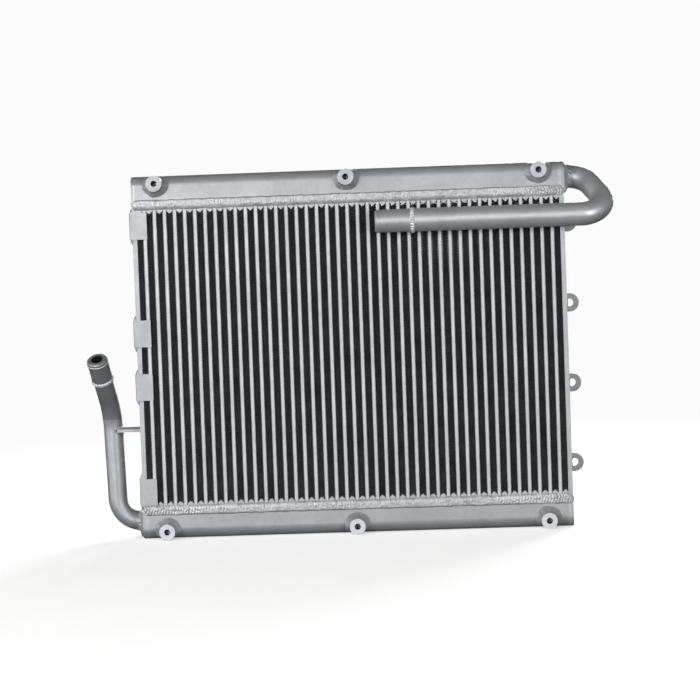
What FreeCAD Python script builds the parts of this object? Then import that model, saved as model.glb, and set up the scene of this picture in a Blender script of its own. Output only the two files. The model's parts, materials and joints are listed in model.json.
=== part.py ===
import FreeCAD, Part
import math
import os
from FreeCAD import Vector

# Bar-and-plate oil cooler of brazed and welded aluminium.
# Oil enters one tank, runs along flat vertical passages, and leaves at the other tank.
# Air blows through the corrugated fins between the passages, along Y.
# Millimetres. X to the right, +Y from the front to the back, +Z up.
# The origin is the centre of the six mounting bosses, in the plane of their front faces.

# ---- Core: passages, sheets and fins ----
PASSAGE_COUNT = 41
PASSAGE_GAP = 3.2             # inside width of one oil passage, along X
SHEET_THICKNESS = 0.8         # parting sheet on each side of a passage
AIR_GAP = 6.4                 # width of one air column, along X
AIR_HEIGHT = 324.0            # free height of an air column between its header bars
CORE_DEPTH = 64.0             # along Y
SIDE_PLATE_THICKNESS = 5.0
FACE_BAR_DEPTH = 6.0          # bar that closes a passage at the front or rear, along Y
HEADER_BAR_HEIGHT = 8.5       # bar that closes an air column at the top or bottom
HEADER_NOSE_HEIGHT = 2.4      # pointed edge of a header bar, towards the fins
HEADER_NOSE_FLAT = 0.8        # width left flat at the tip of that edge
AIR_FOLD_PITCH = 9.0          # coarse stand-in for the fine folds of the air fins
AIR_FIN_SHEET = 0.5
OIL_FOLD_PITCH = 6.5          # coarse stand-in for the turbulator inside a passage
OIL_FIN_SHEET = 0.4

# ---- Tanks ----
TANK_WALL = 4.0
TANK_CORNER_RADIUS = 12.0
CAP_THICKNESS = 4.0
PORT_CAP_PROUD = 4.5          # how far a cap that carries a pipe stands beyond the side plate
PORT_CAP_BEVEL = 3.5

# ---- Mounting bosses ----
BOSS_DIAMETER = 17.5
BOSS_REACH = 15.0             # from the tank's front wall to the boss's face
BOSS_ROOT = 8.0               # how far the boss runs back over the tank's rounded corner
BOSS_END_INSET = 27.3         # from the core's side to the nearest boss centre
BOSS_EDGE_INSET = 9.0         # from the tank's outermost face to the boss centre
BOSS_HOLE_DIAMETER = 6.8      # tapping size of an M8 thread
BOSS_HOLE_FLOOR = 2.0         # metal left between the blind hole and the tank

# ---- Clips on the left side plate ----
CLIP_THICKNESS = 3.0
CLIP_WIDTH = 19.5             # leg that lies on the core's front, along X
CLIP_LEG = 30.0               # leg that lies along the side plate, along Y
CLIP_HEIGHT = 29.5
CLIP_BEND_RADIUS = 2.0        # outside of the bend
CLIP_END_SHIFT = 1.0          # from an end of the air columns to the clip beside it, downwards
CLIP_UPPER_Z = 27.5           # centre of the clip above mid-height
CLIP_LOWER_Z = -31.8          # centre of the clip below mid-height

# ---- Ears on the right side plate ----
EAR_THICKNESS = 4.0
EAR_RADIUS = 10.3
EAR_HOLE_DIAMETER = 8.5
EAR_HOLE_OFFSET = 5.2         # hole centre from the side plate
EAR_END_INSET = 36.4          # from the core's top or bottom to the nearest ear's centre
EAR_SETBACK = 46.0            # from the core's front to the ear's front face
EAR_NAMES = ["ear_bottom", "ear_lower", "ear_upper", "ear_top"]

# ---- Outlet pipe, from the upper tank's right end ----
OUTLET_DIAMETER = 25.4
OUTLET_WALL = 2.5
OUTLET_PORT_MARGIN = 1.3      # between the end of the core and the pipe, along Z
OUTLET_PORT_COVER = 3.8       # between the pipe and the tank's outermost face, along Z
OUTLET_STUB = 19.0            # port cap to the first corner, along X
OUTLET_TURN = 31.5            # first corner to the second, along X
OUTLET_DROP = 42.5            # from the port's height down to the front arm
OUTLET_ARM_GAP = 8.0          # between the core's front and the front arm
OUTLET_BENDS = [27.0, 24.0]   # centreline radii, from the port on
OUTLET_ARM_END_X = 31.0       # free end of the hose ferrule
OUTLET_FERRULE_LENGTH = 41.0
OUTLET_FERRULE_DIAMETER = 25.0
OUTLET_FERRULE_BORE = 18.0

# ---- Inlet pipe, from the lower tank's left end ----
INLET_DIAMETER = 21.3
INLET_WALL = 2.0
INLET_PORT_MARGIN = 2.3       # between the end of the core and the pipe, along Z
INLET_STUB = 27.5             # port cap to the riser's corner, along X
INLET_RISER_LEAN = 3.0        # how far the riser leans out by its top
INLET_RISER_HEIGHT = 121.5    # port's height up to the upper corner
INLET_TIP_OUT = 8.0           # upper corner to the free end, along -X
INLET_TIP_FORWARD = 46.0      # upper corner to the free end, along -Y
INLET_TIP_RISE = 63.5         # upper corner to the free end, along Z
INLET_BENDS = [27.0, 60.0]    # centreline radii, from the port on
INLET_FERRULE_LENGTH = 29.0
INLET_FERRULE_DIAMETER = 23.0
INLET_FERRULE_BORE = 12.5
FERRULE_CHAMFER = 1.5
FERRULE_GROOVE_OFFSET = 3.6   # from the free end to the groove of the hose stop
FERRULE_GROOVE_WIDTH = 1.2
FERRULE_GROOVE_DEPTH = 0.5

# ---- Strap between the inlet pipe and the left side plate ----
STRAP_THICKNESS = 3.3
STRAP_DEPTH = 34.0
STRAP_DROP = 18.5             # from the riser's upper corner down to the strap
STRAP_SHORTFALL = 6.5         # from the pipe's centre to the ends of the strap's two prongs

# ---- Worked out from the sizes above ----
PITCH = PASSAGE_GAP + 2 * SHEET_THICKNESS + AIR_GAP
CORE_WIDTH = PASSAGE_COUNT * PITCH + AIR_GAP + 2 * SIDE_PLATE_THICKNESS
HALF_WIDTH = CORE_WIDTH / 2
HALF_AIR = AIR_HEIGHT / 2
HALF_BLOCK = HALF_AIR + HEADER_BAR_HEIGHT
TANK_HEIGHT = OUTLET_PORT_MARGIN + OUTLET_DIAMETER + OUTLET_PORT_COVER
TOP = HALF_BLOCK + TANK_HEIGHT
BOSS_X = HALF_WIDTH - BOSS_END_INSET
BOSS_Z = TOP - BOSS_EDGE_INSET
EAR_SPACING = 2 * (HALF_BLOCK - EAR_END_INSET) / (len(EAR_NAMES) - 1)
PORT_FACE_X = HALF_WIDTH + PORT_CAP_PROUD
FRONT = BOSS_REACH
REAR = FRONT + CORE_DEPTH
MIDDLE_Y = FRONT + CORE_DEPTH / 2
PASSAGE_X = [(index - (PASSAGE_COUNT - 1) / 2) * PITCH for index in range(PASSAGE_COUNT)]
COLUMN_X = [x - PITCH / 2 for x in PASSAGE_X] + [PASSAGE_X[-1] + PITCH / 2]
X_AXIS = Vector(1, 0, 0)
Y_AXIS = Vector(0, 1, 0)
Z_AXIS = Vector(0, 0, 1)


def export(name, solids):
    """Write one node; several solids stay separate in a compound."""
    shape = solids[0] if len(solids) == 1 else Part.makeCompound(solids)
    shape.exportStep("parts/" + name + ".step")


def box(x0, x1, y0, y1, z0, z1):
    return Part.makeBox(x1 - x0, y1 - y0, z1 - z0, Vector(x0, y0, z0))


def prism(points, sweep):
    """A closed outline pushed along the vector sweep."""
    outline = Part.makePolygon(points + [points[0]])
    return Part.Face(outline).extrude(sweep)


def zigzag(length, width, sheet, pitch):
    """Outline of a corrugated sheet: along the first number, folded across the second."""
    folds = max(2, round(length / pitch))
    step = length / folds
    inner = width / 2
    outer = width / 2 - sheet
    near = []
    far = []
    for index in range(folds):
        side = 1 if index % 2 == 0 else -1
        start = -length / 2 + index * step
        end = start + step
        lead = 0 if index == 0 else sheet / 2
        tail = 0 if index == folds - 1 else sheet / 2
        if side > 0:
            near += [(start - lead, inner), (end + tail, inner)]
            far += [(start + lead, outer), (end - tail, outer)]
        else:
            near += [(start + lead, -outer), (end - tail, -outer)]
            far += [(start - lead, -inner), (end + tail, -inner)]
    return near + far[::-1]


# ---- Core ----

def passage_sheets():
    """Both parting sheets of every oil passage."""
    sheets = []
    for centre in PASSAGE_X:
        for edge in (centre - PASSAGE_GAP / 2 - SHEET_THICKNESS, centre + PASSAGE_GAP / 2):
            sheets.append(box(edge, edge + SHEET_THICKNESS, FRONT, REAR, -HALF_BLOCK, HALF_BLOCK))
    return sheets


def passage_bars(y0, y1):
    """Bars that close the oil passages at one face of the core."""
    half = PASSAGE_GAP / 2
    return [box(x - half, x + half, y0, y1, -HALF_BLOCK, HALF_BLOCK) for x in PASSAGE_X]


def header_bars(side):
    """Nosed bars that close the air columns; side is 1 at the top and -1 at the bottom."""
    half = AIR_GAP / 2
    tip = HEADER_NOSE_FLAT / 2
    bars = []
    for x in COLUMN_X:
        points = [
            Vector(x - half, FRONT, side * HALF_BLOCK),
            Vector(x + half, FRONT, side * HALF_BLOCK),
            Vector(x + half, FRONT, side * HALF_AIR),
            Vector(x + tip, FRONT, side * (HALF_AIR - HEADER_NOSE_HEIGHT)),
            Vector(x - tip, FRONT, side * (HALF_AIR - HEADER_NOSE_HEIGHT)),
            Vector(x - half, FRONT, side * HALF_AIR),
        ]
        bars.append(prism(points, Y_AXIS * CORE_DEPTH))
    return bars


def air_fins():
    """Corrugated fin of each air column; its folds are stacked along Z and air runs along Y."""
    length = AIR_HEIGHT - 2 * HEADER_NOSE_HEIGHT
    outline = zigzag(length, AIR_GAP, AIR_FIN_SHEET, AIR_FOLD_PITCH)
    fins = []
    for x in COLUMN_X:
        points = [Vector(x + across, FRONT, height) for height, across in outline]
        fins.append(prism(points, Y_AXIS * CORE_DEPTH))
    return fins


def oil_turbulators():
    """Corrugated sheet inside each oil passage; its folds run along Z, as the oil does."""
    length = CORE_DEPTH - 2 * FACE_BAR_DEPTH
    outline = zigzag(length, PASSAGE_GAP, OIL_FIN_SHEET, OIL_FOLD_PITCH)
    sheets = []
    for x in PASSAGE_X:
        points = [Vector(x + across, MIDDLE_Y + depth, -HALF_BLOCK) for depth, across in outline]
        sheets.append(prism(points, Z_AXIS * (2 * HALF_BLOCK)))
    return sheets


def side_plate(side):
    """Thick plate that closes the core at the left (-1) or right (1)."""
    x0, x1 = sorted((side * HALF_WIDTH, side * (HALF_WIDTH - SIDE_PLATE_THICKNESS)))
    return box(x0, x1, FRONT, REAR, -HALF_BLOCK, HALF_BLOCK)


# ---- Tanks ----

def rounded_section(x, inset, side, foot):
    """Face across the tank: square at the core, rounded at its outer corners."""
    y0 = FRONT + inset
    y1 = REAR - inset
    z_top = side * (TOP - inset)
    radius = max(TANK_CORNER_RADIUS - inset, 0.5)
    slope = radius * math.sqrt(0.5)
    z_shoulder = z_top - side * radius
    z_arc = z_shoulder + side * slope
    edges = [
        Part.LineSegment(Vector(x, y0, foot), Vector(x, y0, z_shoulder)),
        Part.Arc(
            Vector(x, y0, z_shoulder),
            Vector(x, y0 + radius - slope, z_arc),
            Vector(x, y0 + radius, z_top),
        ),
        Part.LineSegment(Vector(x, y0 + radius, z_top), Vector(x, y1 - radius, z_top)),
        Part.Arc(
            Vector(x, y1 - radius, z_top),
            Vector(x, y1 - radius + slope, z_arc),
            Vector(x, y1, z_shoulder),
        ),
        Part.LineSegment(Vector(x, y1, z_shoulder), Vector(x, y1, foot)),
        Part.LineSegment(Vector(x, y1, foot), Vector(x, y0, foot)),
    ]
    return Part.Face(Part.Wire([edge.toShape() for edge in edges]))


def tank(side):
    """Extruded channel, open towards the core; side is 1 for the upper tank."""
    x0 = -HALF_WIDTH + CAP_THICKNESS
    sweep = X_AXIS * (CORE_WIDTH - 2 * CAP_THICKNESS)
    outside = rounded_section(x0, 0, side, side * HALF_BLOCK).extrude(sweep)
    inside = rounded_section(x0, TANK_WALL, side, side * (HALF_BLOCK - 1)).extrude(sweep)
    return outside.cut(inside)


def tank_cap(side, end):
    """Plate that closes a tank; end is -1 at the left and 1 at the right."""
    inner_x = end * (HALF_WIDTH - CAP_THICKNESS)
    return rounded_section(inner_x, 0, side, side * HALF_BLOCK).extrude(X_AXIS * (end * CAP_THICKNESS))


def port_cap(side, end, port):
    """Thicker cap with bevelled edges and a through hole for its pipe."""
    inner_x = end * (HALF_WIDTH - CAP_THICKNESS)
    outer_x = end * (HALF_WIDTH + PORT_CAP_PROUD)
    plate = rounded_section(inner_x, 0, side, side * HALF_BLOCK).extrude(X_AXIS * (outer_x - inner_x))
    rim = [edge for edge in plate.Edges if abs(edge.BoundBox.XMin - outer_x) < 0.01
           and abs(edge.BoundBox.XMax - outer_x) < 0.01
           and abs(edge.CenterOfMass.z) > HALF_BLOCK + 0.01]
    return plate.makeChamfer(PORT_CAP_BEVEL, rim).cut(port)


# ---- Bosses, clips and ears ----

def boss(x, side):
    """Threaded stud of round bar that stands on the tank's front wall."""
    z = side * BOSS_Z
    radius = BOSS_DIAMETER / 2
    hole_radius = BOSS_HOLE_DIAMETER / 2
    bar = Part.makeCylinder(radius, BOSS_REACH + BOSS_ROOT, Vector(x, 0, z), Y_AXIS)
    tank_space = rounded_section(x - radius, 0, side, side * HALF_BLOCK).extrude(X_AXIS * BOSS_DIAMETER)
    bar = bar.cut(tank_space)
    hole = Part.makeCylinder(hole_radius, BOSS_REACH - BOSS_HOLE_FLOOR, Vector(x, 0, z), Y_AXIS)
    return bar.cut(hole)


def clip(centre_z):
    """Bent clip round the core's front left edge."""
    top = centre_z + CLIP_HEIGHT / 2
    outer_x = -HALF_WIDTH - CLIP_THICKNESS
    outer_y = FRONT - CLIP_THICKNESS
    outside = box(outer_x, outer_x + CLIP_WIDTH, outer_y, FRONT + CLIP_LEG, top - CLIP_HEIGHT, top)
    corner = [
        edge for edge in outside.Edges
        if abs(edge.CenterOfMass.x - outer_x) < 0.01 and abs(edge.CenterOfMass.y - outer_y) < 0.01
    ]
    outside = outside.makeFillet(CLIP_BEND_RADIUS, corner)
    core_space = box(-HALF_WIDTH, HALF_WIDTH, FRONT, REAR, top - CLIP_HEIGHT, top)
    return outside.cut(core_space)


def ear(z):
    """Round-nosed plate with a hole, standing on the right side plate."""
    y0 = FRONT + EAR_SETBACK
    x = HALF_WIDTH + EAR_HOLE_OFFSET
    nose = Part.makeCylinder(EAR_RADIUS, EAR_THICKNESS, Vector(x, y0, z), Y_AXIS)
    root = box(HALF_WIDTH, x, y0, y0 + EAR_THICKNESS, z - EAR_RADIUS, z + EAR_RADIUS)
    core_space = box(0, HALF_WIDTH, y0 - 1, y0 + EAR_THICKNESS + 1, z - 2 * EAR_RADIUS, z + 2 * EAR_RADIUS)
    hole = Part.makeCylinder(EAR_HOLE_DIAMETER / 2, EAR_THICKNESS, Vector(x, y0, z), Y_AXIS)
    return nose.fuse(root).cut(core_space).cut(hole).removeSplitter()


# ---- Pipes ----

def bent_path(points, radii):
    """Straight runs joined by tangent arcs of the given radii."""
    edges = []
    start = points[0]
    for corner, before, after, radius in zip(points[1:-1], points[:-2], points[2:], radii):
        towards = (corner - before).normalize()
        away = (after - corner).normalize()
        half_turn = towards.getAngle(away) / 2
        tangent = radius * math.tan(half_turn)
        arc_start = corner - towards * tangent
        arc_end = corner + away * tangent
        inward = (away - towards).normalize()
        arc_middle = corner + inward * (radius / math.cos(half_turn) - radius)
        edges.append(Part.LineSegment(start, arc_start).toShape())
        edges.append(Part.Arc(arc_start, arc_middle, arc_end).toShape())
        start = arc_end
    edges.append(Part.LineSegment(start, points[-1]).toShape())
    return Part.Wire(edges)


def swept_rod(path, start, direction, radius):
    """Solid round bar along a path."""
    circle = Part.makeCircle(radius, start, direction)
    return path.makePipeShell([Part.Wire(circle)], True, True)


def pipe(points, radii, diameter, wall):
    path = bent_path(points, radii)
    direction = points[1] - points[0]
    outside = swept_rod(path, points[0], direction, diameter / 2)
    inside = swept_rod(path, points[0], direction, diameter / 2 - wall)
    return outside.cut(inside)


def along(point, target, distance):
    """The point that lies the given distance from point, towards target."""
    return point + (target - point).normalize() * distance


def ferrule(tip, root, length, diameter, bore):
    """Hose end: a turned sleeve with a chamfered mouth and a shallow ring groove."""
    axis = (root - tip).normalize()
    radius = diameter / 2
    groove_start = FERRULE_GROOVE_OFFSET
    groove_end = groove_start + FERRULE_GROOVE_WIDTH
    profile = [
        (bore / 2, 0),
        (radius - FERRULE_CHAMFER, 0),
        (radius, FERRULE_CHAMFER),
        (radius, groove_start),
        (radius - FERRULE_GROOVE_DEPTH, groove_start),
        (radius - FERRULE_GROOVE_DEPTH, groove_end),
        (radius, groove_end),
        (radius, length),
        (bore / 2, length),
    ]
    points = [Vector(r, 0, z) for r, z in profile]
    turned = Part.Face(Part.makePolygon(points + [points[0]])).revolve(Vector(0, 0, 0), Z_AXIS, 360)
    turned.Placement = FreeCAD.Placement(tip, FreeCAD.Rotation(Z_AXIS, axis))
    return turned


def outlet_points():
    """Corners of the outlet pipe: port, two corners, and the free end of its ferrule."""
    port_z = HALF_BLOCK + OUTLET_PORT_MARGIN + OUTLET_DIAMETER / 2
    arm_z = port_z - OUTLET_DROP
    arm_y = FRONT - OUTLET_ARM_GAP - OUTLET_DIAMETER / 2
    return [
        Vector(HALF_WIDTH - CAP_THICKNESS, MIDDLE_Y, port_z),
        Vector(PORT_FACE_X + OUTLET_STUB, MIDDLE_Y, port_z),
        Vector(PORT_FACE_X + OUTLET_STUB + OUTLET_TURN, arm_y, arm_z),
        Vector(OUTLET_ARM_END_X, arm_y, arm_z),
    ]


def inlet_points():
    """Corners of the inlet pipe: port, riser foot, upper corner, and the free end."""
    port_z = -HALF_BLOCK - INLET_PORT_MARGIN - INLET_DIAMETER / 2
    foot_x = -PORT_FACE_X - INLET_STUB
    upper = Vector(foot_x - INLET_RISER_LEAN, MIDDLE_Y, port_z + INLET_RISER_HEIGHT)
    return [
        Vector(-HALF_WIDTH + CAP_THICKNESS, MIDDLE_Y, port_z),
        Vector(foot_x, MIDDLE_Y, port_z),
        upper,
        upper + Vector(-INLET_TIP_OUT, -INLET_TIP_FORWARD, INLET_TIP_RISE),
    ]


def pipe_with_ferrule(points, radii, diameter, wall, ferrule_length, ferrule_diameter, bore):
    """The bent pipe up to its ferrule, and the ferrule at the free end."""
    tip = points[-1]
    seat = along(tip, points[-2], ferrule_length)
    tube = pipe(points[:-1] + [seat], radii, diameter, wall)
    return tube, ferrule(tip, seat, ferrule_length, ferrule_diameter, bore)


def inlet_strap(points):
    """Flat plate from the side plate to the inlet pipe, notched round the pipe."""
    foot, upper = points[1], points[2]
    strap_z = upper.z - STRAP_DROP
    pipe_x = foot.x + (upper.x - foot.x) * (strap_z - foot.z) / (upper.z - foot.z)
    z0 = strap_z - STRAP_THICKNESS / 2
    y0 = MIDDLE_Y - STRAP_DEPTH / 2
    plate = box(pipe_x + STRAP_SHORTFALL, -HALF_WIDTH, y0, y0 + STRAP_DEPTH, z0, z0 + STRAP_THICKNESS)
    return plate.cut(swept_rod(bent_path(points, INLET_BENDS), points[0], X_AXIS * -1, INLET_DIAMETER / 2))


# ---- Build ----

os.makedirs("parts", exist_ok=True)

export("parting_sheets", passage_sheets())
export("front_passage_bars", passage_bars(FRONT, FRONT + FACE_BAR_DEPTH))
export("rear_passage_bars", passage_bars(REAR - FACE_BAR_DEPTH, REAR))
export("upper_header_bars", header_bars(1))
export("lower_header_bars", header_bars(-1))
export("air_fins", air_fins())
export("oil_turbulators", oil_turbulators())
export("left_side_plate", [side_plate(-1)])
export("right_side_plate", [side_plate(1)])

outlet_tube, outlet_ferrule = pipe_with_ferrule(
    outlet_points(), OUTLET_BENDS, OUTLET_DIAMETER, OUTLET_WALL,
    OUTLET_FERRULE_LENGTH, OUTLET_FERRULE_DIAMETER, OUTLET_FERRULE_BORE,
)
inlet_tube, inlet_ferrule = pipe_with_ferrule(
    inlet_points(), INLET_BENDS, INLET_DIAMETER, INLET_WALL,
    INLET_FERRULE_LENGTH, INLET_FERRULE_DIAMETER, INLET_FERRULE_BORE,
)
export("outlet_pipe", [outlet_tube])
export("outlet_hose_ferrule", [outlet_ferrule])
export("inlet_pipe", [inlet_tube])
export("inlet_hose_ferrule", [inlet_ferrule])
export("inlet_pipe_strap", [inlet_strap(inlet_points())])

port_depth = CAP_THICKNESS + PORT_CAP_PROUD
outlet_port = Part.makeCylinder(OUTLET_DIAMETER / 2, port_depth, outlet_points()[0], X_AXIS)
inlet_port = Part.makeCylinder(INLET_DIAMETER / 2, port_depth, inlet_points()[0], X_AXIS * -1)
export("upper_tank_left_cap", [tank_cap(1, -1)])
export("upper_tank_port_cap", [port_cap(1, 1, outlet_port)])
export("lower_tank_port_cap", [port_cap(-1, -1, inlet_port)])
export("lower_tank_right_cap", [tank_cap(-1, 1)])

for side, level in ((1, "upper"), (-1, "lower")):
    export(level + "_tank", [tank(side)])
    for offset, place in ((-1, "left"), (0, "middle"), (1, "right")):
        export("boss_" + level + "_" + place, [boss(offset * BOSS_X, side)])

export("clip_top", [clip(HALF_AIR - CLIP_END_SHIFT - CLIP_HEIGHT / 2)])
export("clip_upper", [clip(CLIP_UPPER_Z)])
export("clip_lower", [clip(CLIP_LOWER_Z)])
export("clip_bottom", [clip(-HALF_AIR - CLIP_END_SHIFT + CLIP_HEIGHT / 2)])

for index, name in enumerate(EAR_NAMES):
    export(name, [ear((index - (len(EAR_NAMES) - 1) / 2) * EAR_SPACING)])
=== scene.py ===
"""Looks of a hydraulic oil cooler: fine air fins, weld beads, threads and aluminium finishes."""
import json
import math

import bpy
from mathutils import Matrix, Vector, noise


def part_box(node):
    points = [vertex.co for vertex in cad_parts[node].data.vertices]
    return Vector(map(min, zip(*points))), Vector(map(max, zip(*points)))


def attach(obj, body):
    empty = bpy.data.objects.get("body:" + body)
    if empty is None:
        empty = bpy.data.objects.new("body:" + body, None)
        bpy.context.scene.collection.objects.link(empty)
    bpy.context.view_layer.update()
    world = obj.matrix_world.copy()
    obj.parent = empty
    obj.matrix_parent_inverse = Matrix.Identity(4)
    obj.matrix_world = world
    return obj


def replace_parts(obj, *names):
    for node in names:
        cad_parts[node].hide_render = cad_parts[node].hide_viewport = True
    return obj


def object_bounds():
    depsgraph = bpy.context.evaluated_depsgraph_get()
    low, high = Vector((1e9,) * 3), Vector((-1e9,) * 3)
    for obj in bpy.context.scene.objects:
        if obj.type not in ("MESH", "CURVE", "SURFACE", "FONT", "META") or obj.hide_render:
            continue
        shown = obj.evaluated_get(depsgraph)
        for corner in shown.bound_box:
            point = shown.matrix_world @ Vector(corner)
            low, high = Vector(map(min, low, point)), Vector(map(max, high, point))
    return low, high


MM = 0.001
X_AXIS = Vector((1, 0, 0))
Y_AXIS = Vector((0, 1, 0))
Z_AXIS = Vector((0, 0, 1))

# ---- Air fins ----
FIN_PITCH = 3.0 * MM            # from one fold to the next, along Z
FIN_SHEET = 0.16 * MM
FIN_SIDE_GAP = 0.05 * MM        # between a fold and the parting sheet
FIN_END_GAP = 0.05 * MM
FIN_WAVES = 2                   # waves of each fin from front to back
FIN_WAVE_RISE = 2.2 * MM
FIN_SETBACK = 0.8 * MM          # behind the faces of the closing bars

# ---- Weld beads in general ----
RIPPLE_PITCH = 3.2 * MM
BEAD_STEP = 0.5 * MM            # between sections of a bead round a cylinder
BEAD_SINK = 0.5 * MM            # how far a bead's root lies below the surface
BEAD_TAPER = 2.5 * MM           # length over which a weld rises at its ends
BEAD_LEAD = 0.25 * MM           # how far into that rise a bead starts
WEDGE_LEAD = 0.3 * MM           # the same for a weld in a corner
DOME_POWER = 2.4                # roundness of a bead's section
LUMP_SIZE = 2.2 * MM
BEAD_SWELL = (0.16, 7 * MM)     # share by which a bead swells and shrinks, and over what length
WEDGE_SWELL = (0.18, 4 * MM)
WEDGE_RISE = 0.22               # of a weld in a corner, as shares of its shorter leg
WEDGE_RIPPLE = 0.1
WEDGE_LUMP = 0.09
FILLET_SWELL = (0.2, 5 * MM)
FILLET_LUMP_SIZE = 2.4 * MM
FILLET_RISE = 0.7 * MM          # of the ripples and lumps on a fillet round a cylinder
FILLET_DISH = 0.35 * MM         # how hollow such a fillet is
FILLET_CALM_DEPTH = 3.0 * MM    # fall of the surface at which such a fillet is smooth
TOE_COVER = 0.1 * MM            # how far a fillet's toe starts below the surface

# ---- Welds between the tanks and the core ----
SEAM_HALF_WIDTH = 5.7 * MM
SEAM_SHIFT = 1.4 * MM           # from the end of the core towards its middle
SEAM_HEIGHT = 1.6 * MM
SEAM_STEP = 0.55 * MM
SEAM_BLUNTNESS = 9.0            # how steeply a seam ends towards the tank
SEAM_INSET = 1.0 * MM           # from the core's edges to the ends of a seam
SEAM_FAINT = 0.12               # ripple strength along the middle of a seam
SEAM_STRONG = 0.8               # added to it at a strong end
SEAM_START_FADE = 80 * MM
SEAM_END_FADE = 95 * MM
SIDE_SEAM_HALF_WIDTH = 3.4 * MM
SIDE_SEAM_HEIGHT = 1.2 * MM
SIDE_SEAM_STRENGTH = 0.4
PORT_SIDE_LEGS = (4.2 * MM, 4.5 * MM)    # under a port cap: out from the plate, and along it
PORT_CAP_SIDE = {"upper": "right", "lower": "left"}

# ---- Welds at bosses, ports and caps ----
TANK_CORNER = 12.0 * MM         # outside radius of the tanks' long edges
TANK_CORNER_STEPS = 24
OUTLINE_STEP = 1.0 * MM
CAP_SEAM_HALF_WIDTH = 1.6 * MM
CAP_SEAM_HEIGHT = 0.1 * MM
CAP_BEVEL = 3.5 * MM
CAP_EDGE_Y = 1.0 * MM           # kept free beside a port weld, along Y
CAP_EDGE_Z = 0.6 * MM
BOSS_LEG_OUT = 6.0 * MM         # boss weld, over the tank
BOSS_LEG_ALONG = 8.5 * MM       # boss weld, along the boss
BOSS_TOE_LOW = 0.5 * MM         # least distance from a boss weld's toe to the tank's bottom edge
BOSS_TOE_HIGH = 0.2 * MM        # and to its top edge
PORT_LEG_OUT = 3.4 * MM
PORT_LEG_ALONG = 7.0 * MM

# ---- Threads in the bosses ----
THREAD_PITCH = 1.25 * MM
THREAD_DEPTH = 0.35 * MM
THREAD_TURNS = 9
THREAD_START = 0.9 * MM         # behind the boss's face
THREAD_ROOT = 0.05 * MM         # how far the ridge's root lies in the wall
THREAD_SHARE = 0.42             # half the ridge's width, as a share of the pitch
THREAD_STEPS = 28               # sections in one turn

# ---- Welds at clips, ears and strap: legs out from the plate, and along it ----
CLIP_LEGS = (2.6 * MM, 6.0 * MM)
EAR_LEGS = (3.0 * MM, 3.4 * MM)
STRAP_LEGS = (3.5 * MM, 3.5 * MM)
CLIP_WELD_FRONT = 2 * MM        # from a clip's front to the start of its welds
CLIP_WELD_REAR = 3 * MM
EAR_WELD_INSET = 0.5 * MM
STRAP_WELD_INSET = 1 * MM
STRAP_SHORTFALL = 6.5 * MM      # from the pipe's centre to the strap's prongs
STRAP_BEAD_OFFSET = 0.8 * MM    # from the strap's upper and lower face to the beads' middle
STRAP_BEAD_SIZE = (2.0 * MM, 1.5 * MM)    # half width and height
STRAP_BEAD_START = -1.1         # radians from the side towards the core
STRAP_BEAD_SWEEP = 2.2

# ---- Pipes and hose ferrules ----
HOSE_STOP_OFFSET = 4.2 * MM     # from a ferrule's free end to the ring in its groove
HOSE_STOP_SIZE = (0.8 * MM, 0.5 * MM)     # half width and height
HOSE_STOP_BED = 0.1 * MM        # how far the ring's middle lies below the ferrule's surface
OUTLET_BEAD_SIZE = (2.8 * MM, 1.9 * MM)
OUTLET_BEAD_BED = 0.2 * MM
INLET_BEAD_SIZE = (2.6 * MM, 1.4 * MM)
INLET_BEAD_BED = 0.3 * MM
INLET_SEAM_Z = -68.0 * MM       # where the inlet pipe's colour steps to the painted shade of its upper length
INLET_SEAM_BLUR = 0.6 * MM
BORE_RADIUS = 6.25 * MM         # of the inlet's hose ferrule

# ---- Finishes: grey levels, dark and light ----
PIPE_TONES = (0.35, 0.4)
# Riser and upper inlet pipe are darker than the other pipes: painted shade.
RISER_SHADE_TONES = (0.27, 0.31)
INLET_TOP_SHADE_TONES = (0.17, 0.21)
# The bosses are one metal; the lower ones are lighter than the upper ones, painted light for the light
# they lack from below.
UPPER_BOSS_SHADE_TONES = (0.29, 0.34)
LOWER_BOSS_PAINTED_LIGHT_TONES = (0.41, 0.47)
PIPE_GRAIN = {"grain": 1300, "spots": 0.05, "blotch": 14}
ALONG_X = (0.02, 1, 1)          # noise stretched into drawn lines
ALONG_Z = (1, 1, 0.02)
TURNING_PITCH = 0.45 * MM       # between the rings on a boss's face

# ---- Camera, light and stage ----
CAMERA_TARGET = Vector((-0.0036, 0.047, 0.0005))
CAMERA_DISTANCE = 2.5
CAMERA_YAW = math.radians(2.49)
CAMERA_ELEVATION = math.radians(2.5)
CAMERA_ROLL = math.radians(-2.06)
CAMERA_LENS = 115.2
LIGHTS = (                      # name, place, width and height, power
    ("key", (-1.3, -2.8, 0.5), (1.5, 1.1), 74),
    ("side", (-2.9, -1.1, 0.3), (1.2, 1.2), 34),
    ("fill", (1.6, -2.6, 0.3), (1.0, 1.0), 50),
    ("back", (0.9, 2.7, 0.8), (1.6, 1.2), 85),
)
COOL = (1, 1, 1.02)
WARM = (1.05, 1, 0.94)
SURROUND = (                    # height from 0 to 1, level and tint of the surround
    (0.0, 0.05, COOL), (0.38, 0.1, COOL), (0.48, 0.48, COOL),
    (0.57, 0.66, COOL), (0.72, 0.26, WARM), (1.0, 0.13, WARM),
)
BACKDROP = (0.97, 0.97, 0.97, 1)
FLOOR_RADIUS = 1.6
FLOOR_SIDES = 96
FLOOR_GAP = 0.2 * MM            # under the lowest point of the object
FLOOR_GLOW = 0.42               # so that the floor reads as pale as the backdrop


# ================= Materials =================

def add_node(tree, kind, **settings):
    """A shader node with its settings; those that name an input set its value."""
    item = tree.nodes.new(kind)
    for name, value in settings.items():
        if hasattr(item, name):
            setattr(item, name, value)
        else:
            item.inputs[name.replace("_", " ")].default_value = value
    return item


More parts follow.
